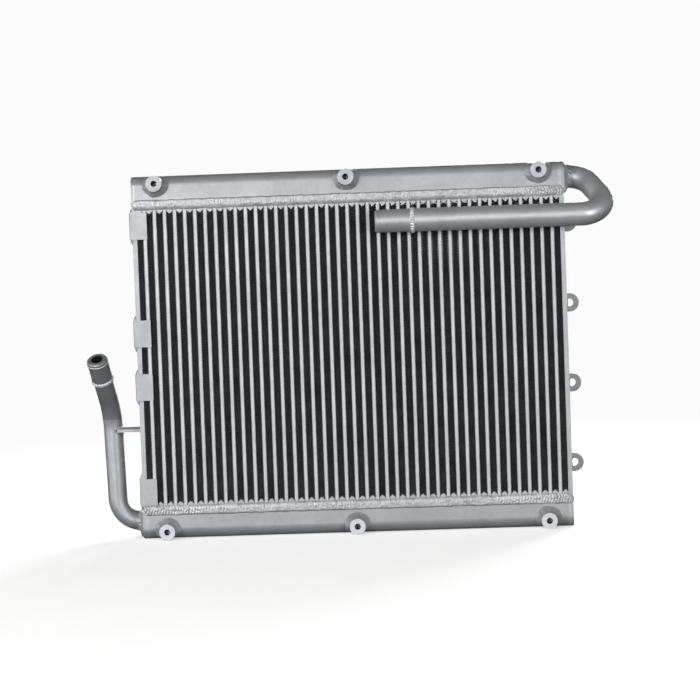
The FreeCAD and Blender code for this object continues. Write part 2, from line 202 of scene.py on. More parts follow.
def new_material(name):
    """A material with its node tree and its main shader."""
    material = bpy.data.materials.new(name)
    material.use_nodes = True
    tree = material.node_tree
    return material, tree, tree.nodes["Principled BSDF"]


def object_noise(tree, scale, stretch=(1, 1, 1), detail=4.0, offset=(0, 0, 0)):
    """Noise over the object's own coordinates, finer along the axes with a larger stretch."""
    coords = add_node(tree, "ShaderNodeTexCoord")
    mapping = add_node(tree, "ShaderNodeMapping")
    mapping.inputs["Scale"].default_value = stretch
    mapping.inputs["Location"].default_value = offset
    texture = add_node(tree, "ShaderNodeTexNoise", Scale=scale, Detail=detail)
    tree.links.new(coords.outputs["Object"], mapping.inputs["Vector"])
    tree.links.new(mapping.outputs["Vector"], texture.inputs["Vector"])
    return texture.outputs["Fac"]


def spread(tree, value, low, high, start=0.3, end=0.7):
    """Maps a value that runs from start to end onto the range from low to high."""
    mapped = add_node(tree, "ShaderNodeMapRange")
    mapped.inputs["From Min"].default_value = start
    mapped.inputs["From Max"].default_value = end
    mapped.inputs["To Min"].default_value = low
    mapped.inputs["To Max"].default_value = high
    tree.links.new(value, mapped.inputs["Value"])
    return mapped.outputs["Result"]


def two_tone(tree, value, dark, light, start=0.3, end=0.7):
    """Blends two colours by a noise value."""
    ramp = add_node(tree, "ShaderNodeValToRGB")
    ramp.color_ramp.elements[0].position = start
    ramp.color_ramp.elements[0].color = (*dark, 1)
    ramp.color_ramp.elements[1].position = end
    ramp.color_ramp.elements[1].color = (*light, 1)
    tree.links.new(value, ramp.inputs["Fac"])
    return ramp.outputs["Color"]


def multiply(tree, colour, shade):
    """A colour times another colour or value."""
    mix = add_node(tree, "ShaderNodeMix", data_type="RGBA", blend_type="MULTIPLY")
    mix.inputs["Factor"].default_value = 1.0
    tree.links.new(colour, mix.inputs["A"])
    tree.links.new(shade, mix.inputs["B"])
    return mix.outputs["Result"]


def darken(tree, colour, value, floor):
    """Darkens a colour down to a share of itself where the value is low."""
    return multiply(tree, colour, two_tone(tree, value, (floor,) * 3, (1, 1, 1), 0.35, 0.5))


def bumped(tree, heights):
    """Chains bumps of (value, strength, depth) and gives the last normal."""
    normal = None
    for value, strength, depth in heights:
        bump = add_node(tree, "ShaderNodeBump", Strength=strength, Distance=depth)
        tree.links.new(value, bump.inputs["Height"])
        if normal:
            tree.links.new(normal, bump.inputs["Normal"])
        normal = bump.outputs["Normal"]
    return normal


def grey(level):
    """A cool grey of the given lightness."""
    return (level * 0.95, level, level * 1.04)


def greys(levels):
    """The dark and the light cool grey of two levels."""
    return grey(levels[0]), grey(levels[1])


def aluminium(
        name, tones, metallic, rough, grain=900, grain_depth=0.05, lines=None, blotch=28, spots=0.0):
    """Aluminium with fine grain and cloudy tone, and where asked drawn lines and small stains."""
    material, tree, shader = new_material(name)
    cloud = object_noise(tree, blotch, detail=6.0)
    colour = two_tone(tree, cloud, *greys(tones))
    if spots:
        stain = object_noise(tree, 240, detail=3.0, offset=(3, 1, 7))
        colour = darken(tree, colour, stain, 1 - spots)
    tree.links.new(colour, shader.inputs["Base Color"])
    grit = object_noise(tree, grain, detail=3.0)
    heights = [(grit, 0.6, grain_depth * MM)]
    if lines:
        drawn = object_noise(tree, 700, stretch=lines, detail=2.0)
        heights.append((drawn, 0.5, 0.06 * MM))
    tree.links.new(bumped(tree, heights), shader.inputs["Normal"])
    patches = object_noise(tree, 90, detail=5.0, offset=(1, 5, 2))
    roughness = spread(tree, patches, rough[0], rough[1])
    tree.links.new(roughness, shader.inputs["Roughness"])
    shader.inputs["Metallic"].default_value = metallic
    return material


def turned_metal(name, centre, tones):
    """A machined face with turning rings round an axis along Y through the centre."""
    material = aluminium(name, tones, 0.45, (0.46, 0.56), grain=1500, grain_depth=0.02)
    tree = material.node_tree
    shader = tree.nodes["Principled BSDF"]
    coords = add_node(tree, "ShaderNodeTexCoord")
    shift = add_node(tree, "ShaderNodeMapping")
    shift.inputs["Location"].default_value = (-centre.x, 0, -centre.z)
    flat = add_node(tree, "ShaderNodeVectorMath", operation="MULTIPLY")
    flat.inputs[1].default_value = (1, 0, 1)
    radius = add_node(tree, "ShaderNodeVectorMath", operation="LENGTH")
    rings = add_node(tree, "ShaderNodeMath", operation="MULTIPLY")
    rings.inputs[1].default_value = math.tau / TURNING_PITCH
    wave = add_node(tree, "ShaderNodeMath", operation="SINE")
    tree.links.new(coords.outputs["Object"], shift.inputs["Vector"])
    tree.links.new(shift.outputs["Vector"], flat.inputs[0])
    tree.links.new(flat.outputs["Vector"], radius.inputs[0])
    tree.links.new(radius.outputs["Value"], rings.inputs[0])
    tree.links.new(rings.outputs["Value"], wave.inputs[0])
    bump = add_node(tree, "ShaderNodeBump", Strength=0.35, Distance=0.04 * MM)
    old = shader.inputs["Normal"].links[0].from_socket
    tree.links.new(wave.outputs["Value"], bump.inputs["Height"])
    tree.links.new(old, bump.inputs["Normal"])
    tree.links.new(bump.outputs["Normal"], shader.inputs["Normal"])
    return material


def pipe_in_painted_shade(name):
    """The inlet pipe: a satin riser below its seam, darker than the other pipes, and a still darker
    length above it; both darkenings are painted shade.
    """
    material = aluminium(name, RISER_SHADE_TONES, 0.55, (0.42, 0.54), **PIPE_GRAIN)
    tree = material.node_tree
    shader = tree.nodes["Principled BSDF"]
    light = shader.inputs["Base Color"].links[0].from_socket
    # Painted shade on the upper length of the inlet pipe, where it leans forward.
    cloud = object_noise(tree, 40, detail=5.0)
    shaded_top = two_tone(tree, cloud, *greys(INLET_TOP_SHADE_TONES))
    coords = add_node(tree, "ShaderNodeTexCoord")
    split = add_node(tree, "ShaderNodeSeparateXYZ")
    step = add_node(tree, "ShaderNodeMapRange", interpolation_type="SMOOTHSTEP")
    step.inputs["From Min"].default_value = INLET_SEAM_Z - INLET_SEAM_BLUR
    step.inputs["From Max"].default_value = INLET_SEAM_Z + INLET_SEAM_BLUR
    mix = add_node(tree, "ShaderNodeMix", data_type="RGBA")
    tree.links.new(coords.outputs["Object"], split.inputs["Vector"])
    tree.links.new(split.outputs["Z"], step.inputs["Value"])
    tree.links.new(step.outputs["Result"], mix.inputs["Factor"])
    tree.links.new(light, mix.inputs["A"])
    tree.links.new(shaded_top, mix.inputs["B"])
    tree.links.new(mix.outputs["Result"], shader.inputs["Base Color"])
    return material


def paint_bore_shade(material, tip, axis, radius):
    """Darkens what lies within a radius of a hose ferrule's axis: painted shade deep in the bore."""
    tree = material.node_tree
    shader = tree.nodes["Principled BSDF"]
    coords = add_node(tree, "ShaderNodeTexCoord")
    shift = add_node(tree, "ShaderNodeVectorMath", operation="SUBTRACT")
    shift.inputs[1].default_value = tip
    cross = add_node(tree, "ShaderNodeVectorMath", operation="CROSS_PRODUCT")
    cross.inputs[1].default_value = axis
    length = add_node(tree, "ShaderNodeVectorMath", operation="LENGTH")
    tree.links.new(coords.outputs["Object"], shift.inputs[0])
    tree.links.new(shift.outputs["Vector"], cross.inputs[0])
    tree.links.new(cross.outputs["Vector"], length.inputs[0])
    wall = spread(tree, length.outputs["Value"], 0.08, 1.0, radius + 0.05 * MM, radius + 0.5 * MM)
    unshaded = shader.inputs["Base Color"].links[0].from_socket
    tree.links.new(multiply(tree, unshaded, wall), shader.inputs["Base Color"])


def fin_painted_shade(name):
    """Near-black fin sheet, its darkness painted shade of the deep fin pack, with a dusty, uneven
    sheen.
    """
    material, tree, shader = new_material(name)
    dust = object_noise(tree, 60, detail=5.0)
    # Near-black tones: painted shade of the deep fin pack.
    colour = two_tone(tree, dust, (0.036, 0.038, 0.042), (0.085, 0.09, 0.098), 0.35, 0.75)
    tree.links.new(colour, shader.inputs["Base Color"])
    grit = object_noise(tree, 1200, detail=2.0)
    tree.links.new(bumped(tree, [(grit, 0.5, 0.04 * MM)]), shader.inputs["Normal"])
    tree.links.new(spread(tree, dust, 0.38, 0.6), shader.inputs["Roughness"])
    shader.inputs["Metallic"].default_value = 0.25
    return material


def weld_metal(name, tones):
    """Aluminium weld with cloudy tone, grey soot, small lumps and fine scale."""
    material, tree, shader = new_material(name)
    cloud = object_noise(tree, 130, detail=6.0)
    colour = two_tone(tree, cloud, *greys(tones), 0.35, 0.62)
    soot = object_noise(tree, 420, detail=3.0, offset=(4, 2, 9))
    tree.links.new(darken(tree, colour, soot, 0.8), shader.inputs["Base Color"])
    grit = object_noise(tree, 1500, detail=3.0)
    lumps = object_noise(tree, 500, detail=2.0)
    heights = [(lumps, 0.4, 0.08 * MM), (grit, 0.5, 0.04 * MM)]
    tree.links.new(bumped(tree, heights), shader.inputs["Normal"])
    tree.links.new(spread(tree, cloud, 0.36, 0.55), shader.inputs["Roughness"])
    shader.inputs["Metallic"].default_value = 0.45
    return material


def stage_white(name):
    """Pale floor that fades out into the backdrop towards its rim."""
    material, tree, shader = new_material(name)
    shader.inputs["Roughness"].default_value = 0.9
    shader.inputs["Emission Color"].default_value = (1, 1, 1, 1)
    path = add_node(tree, "ShaderNodeLightPath")
    glow = add_node(tree, "ShaderNodeMath", operation="MULTIPLY")
    glow.inputs[1].default_value = FLOOR_GLOW
    tree.links.new(path.outputs["Is Camera Ray"], glow.inputs[0])
    tree.links.new(glow.outputs["Value"], shader.inputs["Emission Strength"])
    speckle = object_noise(tree, 14, detail=4.0)
    tone = two_tone(tree, speckle, (0.9, 0.9, 0.9), (0.94, 0.94, 0.94))
    tree.links.new(tone, shader.inputs["Base Color"])
    coords = add_node(tree, "ShaderNodeTexCoord")
    length = add_node(tree, "ShaderNodeVectorMath", operation="LENGTH")
    fade = add_node(tree, "ShaderNodeMapRange", interpolation_type="SMOOTHSTEP")
    fade.inputs["From Min"].default_value = FLOOR_RADIUS * 0.3
    fade.inputs["From Max"].default_value = FLOOR_RADIUS * 0.98
    clear = add_node(tree, "ShaderNodeBsdfTransparent")
    mix = add_node(tree, "ShaderNodeMixShader")
    tree.links.new(coords.outputs["Object"], length.inputs[0])
    tree.links.new(length.outputs["Value"], fade.inputs["Value"])
    tree.links.new(fade.outputs["Result"], mix.inputs["Fac"])
    tree.links.new(shader.outputs["BSDF"], mix.inputs[1])
    tree.links.new(clear.outputs["BSDF"], mix.inputs[2])
    tree.links.new(mix.outputs["Shader"], tree.nodes["Material Output"].inputs["Surface"])
    return material


# ================= Mesh building =================

def skin(rows, loop=False):
    """A shell over rows of points, each row a closed section; the ends are capped unless it loops."""
    count = len(rows[0])
    points = [point for row in rows for point in row]
    faces = []
    for row in range(len(rows) if loop else len(rows) - 1):
        here = row * count
        there = (row + 1) % len(rows) * count
        for step in range(count):
            after = (step + 1) % count
            faces.append((here + step, here + after, there + after, there + step))
    if not loop:
        faces.append(tuple(reversed(range(count))))
        last = (len(rows) - 1) * count
        faces.append(tuple(range(last, last + count)))
    return points, faces


def add_piece(name, shells, material, sharp=50):
    """One object made of closed shells, riding on the cooler's body."""
    points, faces = [], []
    for shell_points, shell_faces in shells:
        start = len(points)
        points.extend(shell_points)
        faces.extend(tuple(start + corner for corner in face) for face in shell_faces)
    mesh = bpy.data.meshes.new(name)
    mesh.from_pydata(points, [], faces)
    mesh.update()
    piece = bpy.data.objects.new(name, mesh)
    bpy.context.scene.collection.objects.link(piece)
    bpy.context.view_layer.objects.active = piece
    piece.select_set(True)
    bpy.ops.object.mode_set(mode="EDIT")
    bpy.ops.mesh.select_all(action="SELECT")
    bpy.ops.mesh.normals_make_consistent(inside=False)
    bpy.ops.object.mode_set(mode="OBJECT")
    piece.select_set(False)
    mesh.materials.append(material)
    mesh.shade_smooth()
    mesh.set_sharp_from_angle(angle=math.radians(sharp))
    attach(piece, "root")
    return piece


def rough_at(point, scale, seed=0.0):
    """Smooth noise from -1 to 1 at a place on the object."""
    return noise.noise(point / scale + Vector((seed, seed * 1.7, -seed)))


def swelling(point, swell, seed):
    """The factor by which a weld swells or shrinks at a point."""
    share, size = swell
    return 1 + share * rough_at(point, size, seed)


def ripple(distance, across):
    """Height from 0 to 1 of the crescent ripples along a bead; across runs from -1 to 1."""
    phase = distance / RIPPLE_PITCH + 0.5 * across * across + 0.3 * across
    return abs(math.sin(math.pi * phase)) ** 0.6


def bead_row(point, out, side, distance, width, height, strength, seed, steps=12, blunt=DOME_POWER):
    """One closed section of a weld bead that lies on a surface; blunt steepens its far edge."""
    row = []
    swell = swelling(point, BEAD_SWELL, seed)
    for step in range(steps + 1):
        across = -1 + 2 * step / steps
        dome = 1 - abs(across) ** (blunt if across > 0 else DOME_POWER)
        wave = 1 - strength * (1 - ripple(distance, across))
        place = point + side * (across * width * swell)
        lump = 1 + (0.1 + 0.35 * strength) * rough_at(place, LUMP_SIZE, seed)
        row.append(place + out * (height * dome * wave * lump))
    row.append(point + side * width * swell - out * BEAD_SINK)
    row.append(point - side * width * swell - out * BEAD_SINK)
    return row


def tapered(distance, length, lead):
    """Share from 0 to 1 by which a weld has risen, at a distance along its length."""
    return min(1.0, (lead + min(distance, length - distance)) / BEAD_TAPER) ** 0.5


def straight_bead(start, end, out, side, width, height, strength, seed, steps=12, blunt=DOME_POWER):
    """A bead between two points; strength is a function of the distance along it."""
    length = (end - start).length
    direction = (end - start).normalized()
    count = max(4, round(length / SEAM_STEP))
    rows = []
    for index in range(count + 1):
        distance = length * index / count
        taper = tapered(distance, length, BEAD_LEAD)
        point = start + direction * distance
        rows.append(bead_row(
            point, out, side, distance, width * taper, height * taper, strength(distance), seed,
            steps, blunt))
    return skin(rows)


def ring_bead(
        centre, axis, radius, width, height, strength, seed, start=0.0, sweep=math.tau, across=None):
    """A bead round a pipe, all the way or over part of a turn counted from the direction across."""
    across = across or axis.orthogonal().normalized()
    other = axis.cross(across)
    whole = sweep >= math.tau
    count = round(radius * sweep / BEAD_STEP)
    rows = []
    for index in range(count if whole else count + 1):
        angle = start + sweep * index / count
        out = across * math.cos(angle) + other * math.sin(angle)
        point = centre + out * radius
        rows.append(bead_row(
            point, out, axis, radius * angle, width, height, strength, seed, steps=10))
    return skin(rows, loop=whole)


def fillet_ring(centre, axis, radius, leg_out, leg_along, depth, seed, keep_in=None, strength=0.6):
    """A fillet weld round a cylinder; depth(point) is how far the surface under a point falls away."""
    across = axis.orthogonal().normalized()
    other = axis.cross(across)
    count = round(math.tau * radius / BEAD_STEP)
    steps = 9
    rows = []
    for index in range(count):
        angle = math.tau * index / count
        out = across * math.cos(angle) + other * math.sin(angle)
        swell = swelling(centre + out * radius, FILLET_SWELL, seed)
        foot = centre + out * (radius + leg_out * swell)
        if keep_in:
            foot = keep_in(foot)
        near = centre + out * (radius - BEAD_SINK)
        top = near + axis * (leg_along * swell - depth(near))
        toe = foot - axis * (depth(foot) + TOE_COVER)
        calm = 1 - min(1.0, depth(foot) / FILLET_CALM_DEPTH)
        bulge = (out + axis).normalized()
        row = []
        for step in range(steps + 1):
            share = step / steps
            place = top.lerp(toe, share)
            dome = math.sin(math.pi * share)
            wave = strength * (ripple(radius * angle, 2 * share - 1) - 1)
            lump = rough_at(place, FILLET_LUMP_SIZE, seed)
            rise = calm * dome * (FILLET_RISE * (wave + lump) - FILLET_DISH)
            row.append(place + bulge * rise)
        row.append(toe - axis * BEAD_SINK)
        row.append(near - axis * (depth(near) + BEAD_SINK))
        rows.append(row)
    return skin(rows, loop=True)


def wedge(start, end, corner_out, corner_side, legs, seed):
    """A fillet weld along an inside corner, with its two legs along the two directions."""
    length = (end - start).length
    direction = (end - start).normalized()
    bulge = (corner_out + corner_side).normalized()
    count = max(6, round(length / SEAM_STEP))
    steps = 7
    rows = []
    for index in range(count + 1):
        distance = length * index / count
        point = start + direction * distance
        swell = tapered(distance, length, WEDGE_LEAD) * swelling(point, WEDGE_SWELL, seed)
        first = point + corner_out * (legs[0] * swell)
        second = point + corner_side * (legs[1] * swell)
        row = [point - bulge * BEAD_SINK]
        for step in range(steps + 1):
            share = step / steps
            place = first.lerp(second, share)
            dome = math.sin(math.pi * share)
            wave = ripple(distance, 2 * share - 1) - 1
            lump = rough_at(place, LUMP_SIZE, seed)
            rise = WEDGE_RISE + WEDGE_RIPPLE * wave + WEDGE_LUMP * lump
            row.append(place + bulge * (dome * min(legs) * rise))
        rows.append(row)
    return skin(rows)


# ================= Pieces =================

def wavy_fins(material):
    """Zigzag fins in every air column, each fin wavy from front to back."""
    low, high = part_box("air_fins")
    sheets = column_edges()
    front = low.y + FIN_SETBACK
    depth = high.y - FIN_SETBACK - front
    stations = 2 * FIN_WAVES + 1
    ys = [front + depth * index / (stations - 1) for index in range(stations)]
    lifts = [FIN_WAVE_RISE * (index % 2) for index in range(stations)]
    bottom = low.z + FIN_END_GAP
    top = high.z - FIN_END_GAP - FIN_SHEET
    start = bottom - FIN_WAVE_RISE
    turns = math.ceil((top - start) / FIN_PITCH * 2)
    shells = []
    for left, right in sheets:
        rows = []
        for turn in range(turns + 1):
            x = left + FIN_SIDE_GAP if turn % 2 else right - FIN_SIDE_GAP
            z = start + FIN_PITCH / 2 * turn
            heights = [min(max(z + lift, bottom), top) for lift in lifts]
            under = [Vector((x, y, height)) for y, height in zip(ys, heights)]
            over = [point + Z_AXIS * FIN_SHEET for point in reversed(under)]
            rows.append(under + over)
        shells.append(skin(rows))
    piece = add_piece("air_fins_wavy", shells, material, sharp=20)
    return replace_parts(piece, "air_fins")


def column_edges():
    """Left and right side of each air column, between neighbouring parting sheets."""
    sheets = frame["nodes"]["parting_sheets"].data
    xs = sorted({round(vertex.co.x, 5) for vertex in sheets.vertices})
    inner_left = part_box("left_side_plate")[1].x
    inner_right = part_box("right_side_plate")[0].x
    edges = [inner_left] + xs + [inner_right]
    gaps = [(a, b) for a, b in zip(edges, edges[1:])]
    # Sheets and oil passages leave narrower gaps than the air columns.
    widest = max(b - a for a, b in gaps)
    return [(a, b) for a, b in gaps if b - a > 0.9 * widest]


def seam_strength(length, strong_ends):
    """Gives strength(distance), strong near the named ends of a seam and faint along the rest."""
    def strength(distance):
        value = SEAM_FAINT
        if "start" in strong_ends:
            value += SEAM_STRONG * max(0.0, 1 - distance / SEAM_START_FADE)
        if "end" in strong_ends:
            value += SEAM_STRONG * max(0.0, 1 - (length - distance) / SEAM_END_FADE)
        return value
    return strength


def side_strength(distance):
    """The same ripple strength all along a seam at a side plate."""
    return SIDE_SEAM_STRENGTH


def core_seams(material):
    """The welds that join each tank to the core, along the front, the back and both sides."""
    low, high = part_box("left_side_plate")
    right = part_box("right_side_plate")[1].x
    length = right - low.x - 2 * SEAM_INSET
    for name, z, to_tank, strong in (
            ("upper", high.z, Z_AXIS, ("end",)), ("lower", low.z, -Z_AXIS, ("start", "end"))):
        strength = seam_strength(length, strong)
        for label, y, out, seed in (("front", low.y, -Y_AXIS, 10), ("rear", high.y, Y_AXIS, 9)):
            start = Vector((low.x + SEAM_INSET, y, z)) - to_tank * SEAM_SHIFT
            end = Vector((right - SEAM_INSET, y, z)) - to_tank * SEAM_SHIFT
            shell = straight_bead(
                start, end, out, to_tank, SEAM_HALF_WIDTH, SEAM_HEIGHT, strength, seed,
                steps=20, blunt=SEAM_BLUNTNESS)
            add_piece(f"{name}_tank_seam_{label}", [shell], material)
        for label, x, out in (("left", low.x, -X_AXIS), ("right", right, X_AXIS)):
            start = Vector((x, low.y + SEAM_INSET, z))
            end = Vector((x, high.y - SEAM_INSET, z))
            if label == PORT_CAP_SIDE[name]:
                shell = wedge(start, end, out, -to_tank, PORT_SIDE_LEGS, seed=3.3)
            else:
                shell = straight_bead(
                    start, end, out, Z_AXIS, SIDE_SEAM_HALF_WIDTH, SIDE_SEAM_HEIGHT, side_strength,
                    seed=5.1)
            add_piece(f"{name}_tank_seam_{label}", [shell], material)


def tank_surface(low, high, upper):
    """Gives depth(point), how far a tank's front falls away behind its flat face at a height."""
    flat_end = high.z - TANK_CORNER if upper else low.z + TANK_CORNER
    def depth(point):
        beyond = point.z - flat_end if upper else flat_end - point.z
        beyond = min(max(beyond, 0.0), TANK_CORNER)
        return TANK_CORNER - math.sqrt(TANK_CORNER ** 2 - beyond ** 2)
    return depth


def tank_clamp(low, high):
    """Gives keep_in(point), which keeps the toe of a boss weld on the tank's front."""
    def keep_in(point):
        z = min(max(point.z, low.z + BOSS_TOE_LOW), high.z - BOSS_TOE_HIGH)
        return Vector((point.x, point.y, z))
    return keep_in


def boss_welds(weld, thread):
    """The fillet weld round each mounting boss, and the thread in its hole."""
    for level in ("upper", "lower"):
        low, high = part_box(f"{level}_tank")
        depth = tank_surface(low, high, level == "upper")
        keep_in = tank_clamp(low, high)
        for seed, place in enumerate(("left", "middle", "right")):
            boss_low, boss_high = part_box(f"boss_{level}_{place}")
            radius = (boss_high.x - boss_low.x) / 2
            centre = (boss_low + boss_high) / 2
            centre.y = low.y
            shell = fillet_ring(
                centre, -Y_AXIS, radius, BOSS_LEG_OUT, BOSS_LEG_ALONG, depth, seed + 2.5, keep_in)
            add_piece(f"boss_weld_{level}_{place}", [shell], weld)
            face = Vector((centre.x, boss_low.y, centre.z))
            # The thread takes the near-black sheet material: painted shade in the boss hole.
            add_piece(f"boss_thread_{level}_{place}", [helix(face)], thread)


def helix(face):
    """A thread ridge in the hole of a boss whose face centre is given."""
    hole = mount_named("corner_boss_holes")["dims"]["hole_r_mm"] * MM
    root = hole + THREAD_ROOT
    half = THREAD_SHARE * THREAD_PITCH
    count = THREAD_TURNS * THREAD_STEPS
    rows = []
    for index in range(count + 1):
        angle = math.tau * index / THREAD_STEPS
        out = Vector((math.cos(angle), 0, math.sin(angle)))
        middle = face + Y_AXIS * (THREAD_START + THREAD_PITCH * index / THREAD_STEPS)
        rise = min(1.0, index / THREAD_STEPS, (count - index) / THREAD_STEPS)
        rows.append([
            middle + out * root - Y_AXIS * half,
            middle + out * (hole - THREAD_DEPTH * rise),
            middle + out * root + Y_AXIS * half,
        ])
    return skin(rows)


def cap_clamp(name):
    """Gives keep_in(point), which keeps the toe of a port weld on the face of its cap."""
    low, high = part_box(name)
    def keep_in(point):
        y = min(max(point.y, low.y + CAP_EDGE_Y), high.y - CAP_EDGE_Y)
        z = min(max(point.z, low.z + CAP_EDGE_Z), high.z - CAP_EDGE_Z)
        return Vector((point.x, y, z))
    return keep_in


def cap_surface(name):
    """Gives depth(point), how far the face of a port cap falls away at its outer bevel."""
    low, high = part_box(name)
    flat_end = max(abs(low.z), abs(high.z)) - CAP_BEVEL
    def depth(point):
        return min(max(abs(point.z) - flat_end, 0.0), CAP_BEVEL)
    return depth


def port_welds(material):
    """The welds between the two pipes and the caps that carry them."""
    for pipe, cap, axis in (
            ("outlet", "upper_tank_port_cap", X_AXIS), ("inlet", "lower_tank_port_cap", -X_AXIS)):
        centre, radius = port_of(pipe, cap, axis)
        shell = fillet_ring(
            centre, axis, radius, PORT_LEG_OUT, PORT_LEG_ALONG, cap_surface(cap), 7.7,
            keep_in=cap_clamp(cap), strength=0.8)
        add_piece(f"{pipe}_port_weld", [shell], material)


def port_of(pipe, cap, axis):
    """Centre and radius of the place where a pipe meets the face of its cap."""
    low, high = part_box(cap)
    face = high.x if axis.x > 0 else low.x
    points = [vertex.co for vertex in frame["nodes"][f"{pipe}_pipe"].data.vertices
              if (vertex.co.x - face) * axis.x < 1 * MM and low.z < vertex.co.z < high.z]
    ys = [point.y for point in points]
    zs = [point.z for point in points]
    centre = Vector((face, (min(ys) + max(ys)) / 2, (min(zs) + max(zs)) / 2))
    return centre, (max(ys) - min(ys)) / 2


def cap_outline(low, high, upper):
    """Points and outward directions round a tank's section, without the side towards the core."""
    sign = 1 if upper else -1
    base = low.z if upper else high.z
    crown = high.z if upper else low.z
    bend = crown - sign * TANK_CORNER
    points = [(low.y, z, -Y_AXIS) for z in steps_between(base, bend, OUTLINE_STEP)]
    for index in range(1, TANK_CORNER_STEPS):
        angle = math.pi / 2 * index / TANK_CORNER_STEPS
        out = Vector((0, -math.cos(angle), sign * math.sin(angle)))
        points.append((low.y + TANK_CORNER * (1 + out.y), bend + TANK_CORNER * out.z, out))
    for y in steps_between(low.y + TANK_CORNER, high.y - TANK_CORNER, OUTLINE_STEP):
        points.append((y, crown, Z_AXIS * sign))
    for index in range(1, TANK_CORNER_STEPS):
        angle = math.pi / 2 * (1 - index / TANK_CORNER_STEPS)
        out = Vector((0, math.cos(angle), sign * math.sin(angle)))
        points.append((high.y - TANK_CORNER * (1 - out.y), bend + TANK_CORNER * out.z, out))
    points += [(high.y, z, Y_AXIS) for z in steps_between(bend, base, OUTLINE_STEP)]
    return points


def steps_between(start, end, step):
    """Evenly spaced values from start to end, about one step apart."""
    count = max(1, round(abs(end - start) / step))
    return [start + (end - start) * index / count for index in range(count + 1)]


def cap_seams(material):
    """The thin welds between each tank and the cap at either end."""
    for level in ("upper", "lower"):
        low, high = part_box(f"{level}_tank")
        outline = cap_outline(low, high, level == "upper")
        for label, x in (("left", low.x), ("right", high.x)):
            rows = []
            distance = 0.0
            before = None
            for y, z, out in outline:
                point = Vector((x, y, z))
                if before is not None:
                    distance += (point - before).length
                before = point
                rows.append(bead_row(
                    point, out, X_AXIS, distance, CAP_SEAM_HALF_WIDTH, CAP_SEAM_HEIGHT,
                    strength=0.4, seed=9.5, steps=8))
            add_piece(f"{level}_cap_seam_{label}", [skin(rows)], material)


def clip_welds(material):
    """Fillet welds at the two ends of each clip, along the left side plate."""
    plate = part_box("left_side_plate")[0].x
    for seed, name in enumerate(("top", "upper", "lower", "bottom")):
        low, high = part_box(f"clip_{name}")
        shells = []
        for z, away in ((low.z, -Z_AXIS), (high.z, Z_AXIS)):
            start = Vector((plate, low.y + CLIP_WELD_FRONT, z))
            end = Vector((plate, high.y - CLIP_WELD_REAR, z))
            shells.append(wedge(start, end, -X_AXIS, away, CLIP_LEGS, seed + 0.4))
        add_piece(f"clip_weld_{name}", shells, material)


def ear_welds(material):
    """Fillet welds on both faces of each ear, along the right side plate."""
    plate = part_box("right_side_plate")[1].x
    for seed, name in enumerate(("top", "upper", "lower", "bottom")):
        low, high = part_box(f"ear_{name}")
        shells = []
        for y, away in ((low.y, -Y_AXIS), (high.y, Y_AXIS)):
            start = Vector((plate, y, low.z + EAR_WELD_INSET))
            end = Vector((plate, y, high.z - EAR_WELD_INSET))
            shells.append(wedge(start, end, X_AXIS, away, EAR_LEGS, seed + 6.2))
        add_piece(f"ear_weld_{name}", shells, material)


def strap_welds(material):
    """Welds above and below the strap, at the left side plate and round the inlet pipe."""
    low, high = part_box("inlet_pipe_strap")
    shells = []
    for z, away in ((low.z, -Z_AXIS), (high.z, Z_AXIS)):
        start = Vector((high.x, low.y + STRAP_WELD_INSET, z))
        end = Vector((high.x, high.y - STRAP_WELD_INSET, z))
        shells.append(wedge(start, end, -X_AXIS, away, STRAP_LEGS, 8.8))
    add_piece("strap_weld", shells, material)
    radius = port_of("inlet", "lower_tank_port_cap", -X_AXIS)[1]
    riser = Vector((low.x - STRAP_SHORTFALL, (low.y + high.y) / 2, 0))
    shells = []
    for z, offset in ((low.z, -STRAP_BEAD_OFFSET), (high.z, STRAP_BEAD_OFFSET)):
        centre = riser + Z_AXIS * (z + offset)
        shells.append(ring_bead(
            centre, Z_AXIS, radius, *STRAP_BEAD_SIZE, strength=0.7, seed=4.1,
            start=STRAP_BEAD_START, sweep=STRAP_BEAD_SWEEP, across=X_AXIS))
    add_piece("strap_pipe_weld", shells, material)


def mount_named(name):
    """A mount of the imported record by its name."""
    return next(mount for mount in frame["record"]["mounts"] if mount["name"] == name)


def hose_stop(tip, axis, radius):
    """The ring in the groove near the free end of a hose ferrule."""
    centre = tip + axis * HOSE_STOP_OFFSET
    return ring_bead(
        centre, axis, radius - HOSE_STOP_BED, *HOSE_STOP_SIZE, strength=0.0, seed=0.0)


def ferrule_welds(material, plain):
    """The bead where each hose ferrule is joined to its pipe, and the ring near its free end."""
    low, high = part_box("outlet_hose_ferrule")
    centre = (low + high) / 2
    centre.x = high.x
    radius = (high.z - low.z) / 2
    shell = ring_bead(
        centre, X_AXIS, radius - OUTLET_BEAD_BED, *OUTLET_BEAD_SIZE, strength=0.8, seed=1.9)
    add_piece("outlet_ferrule_weld", [shell], material)
    shell = hose_stop(Vector((low.x, centre.y, centre.z)), X_AXIS, radius)
    add_piece("outlet_hose_stop", [shell], plain)
    tip, axis = inlet_tip()
    length, radius = ferrule_size("inlet_hose_ferrule", tip, axis)
    add_piece("inlet_hose_stop", [hose_stop(tip, axis, radius)], material)
    shell = ring_bead(
        tip + axis * length, axis, radius - INLET_BEAD_BED, *INLET_BEAD_SIZE, strength=0.7, seed=2.6)
    add_piece("inlet_ferrule_weld", [shell], material)


def inlet_tip():
    """Free end of the inlet ferrule and the direction from it into the pipe."""
    mount = mount_named("inlet_hose_end")
    axis = Vector(mount["axis"]).normalized()
    points = [vertex.co for vertex in frame["nodes"]["inlet_hose_ferrule"].data.vertices]
    farthest = max(point.dot(axis) for point in points)
    face = [point for point in points if farthest - point.dot(axis) < 0.05 * MM]
    tip = sum(face, Vector()) / len(face)
    return tip, -axis


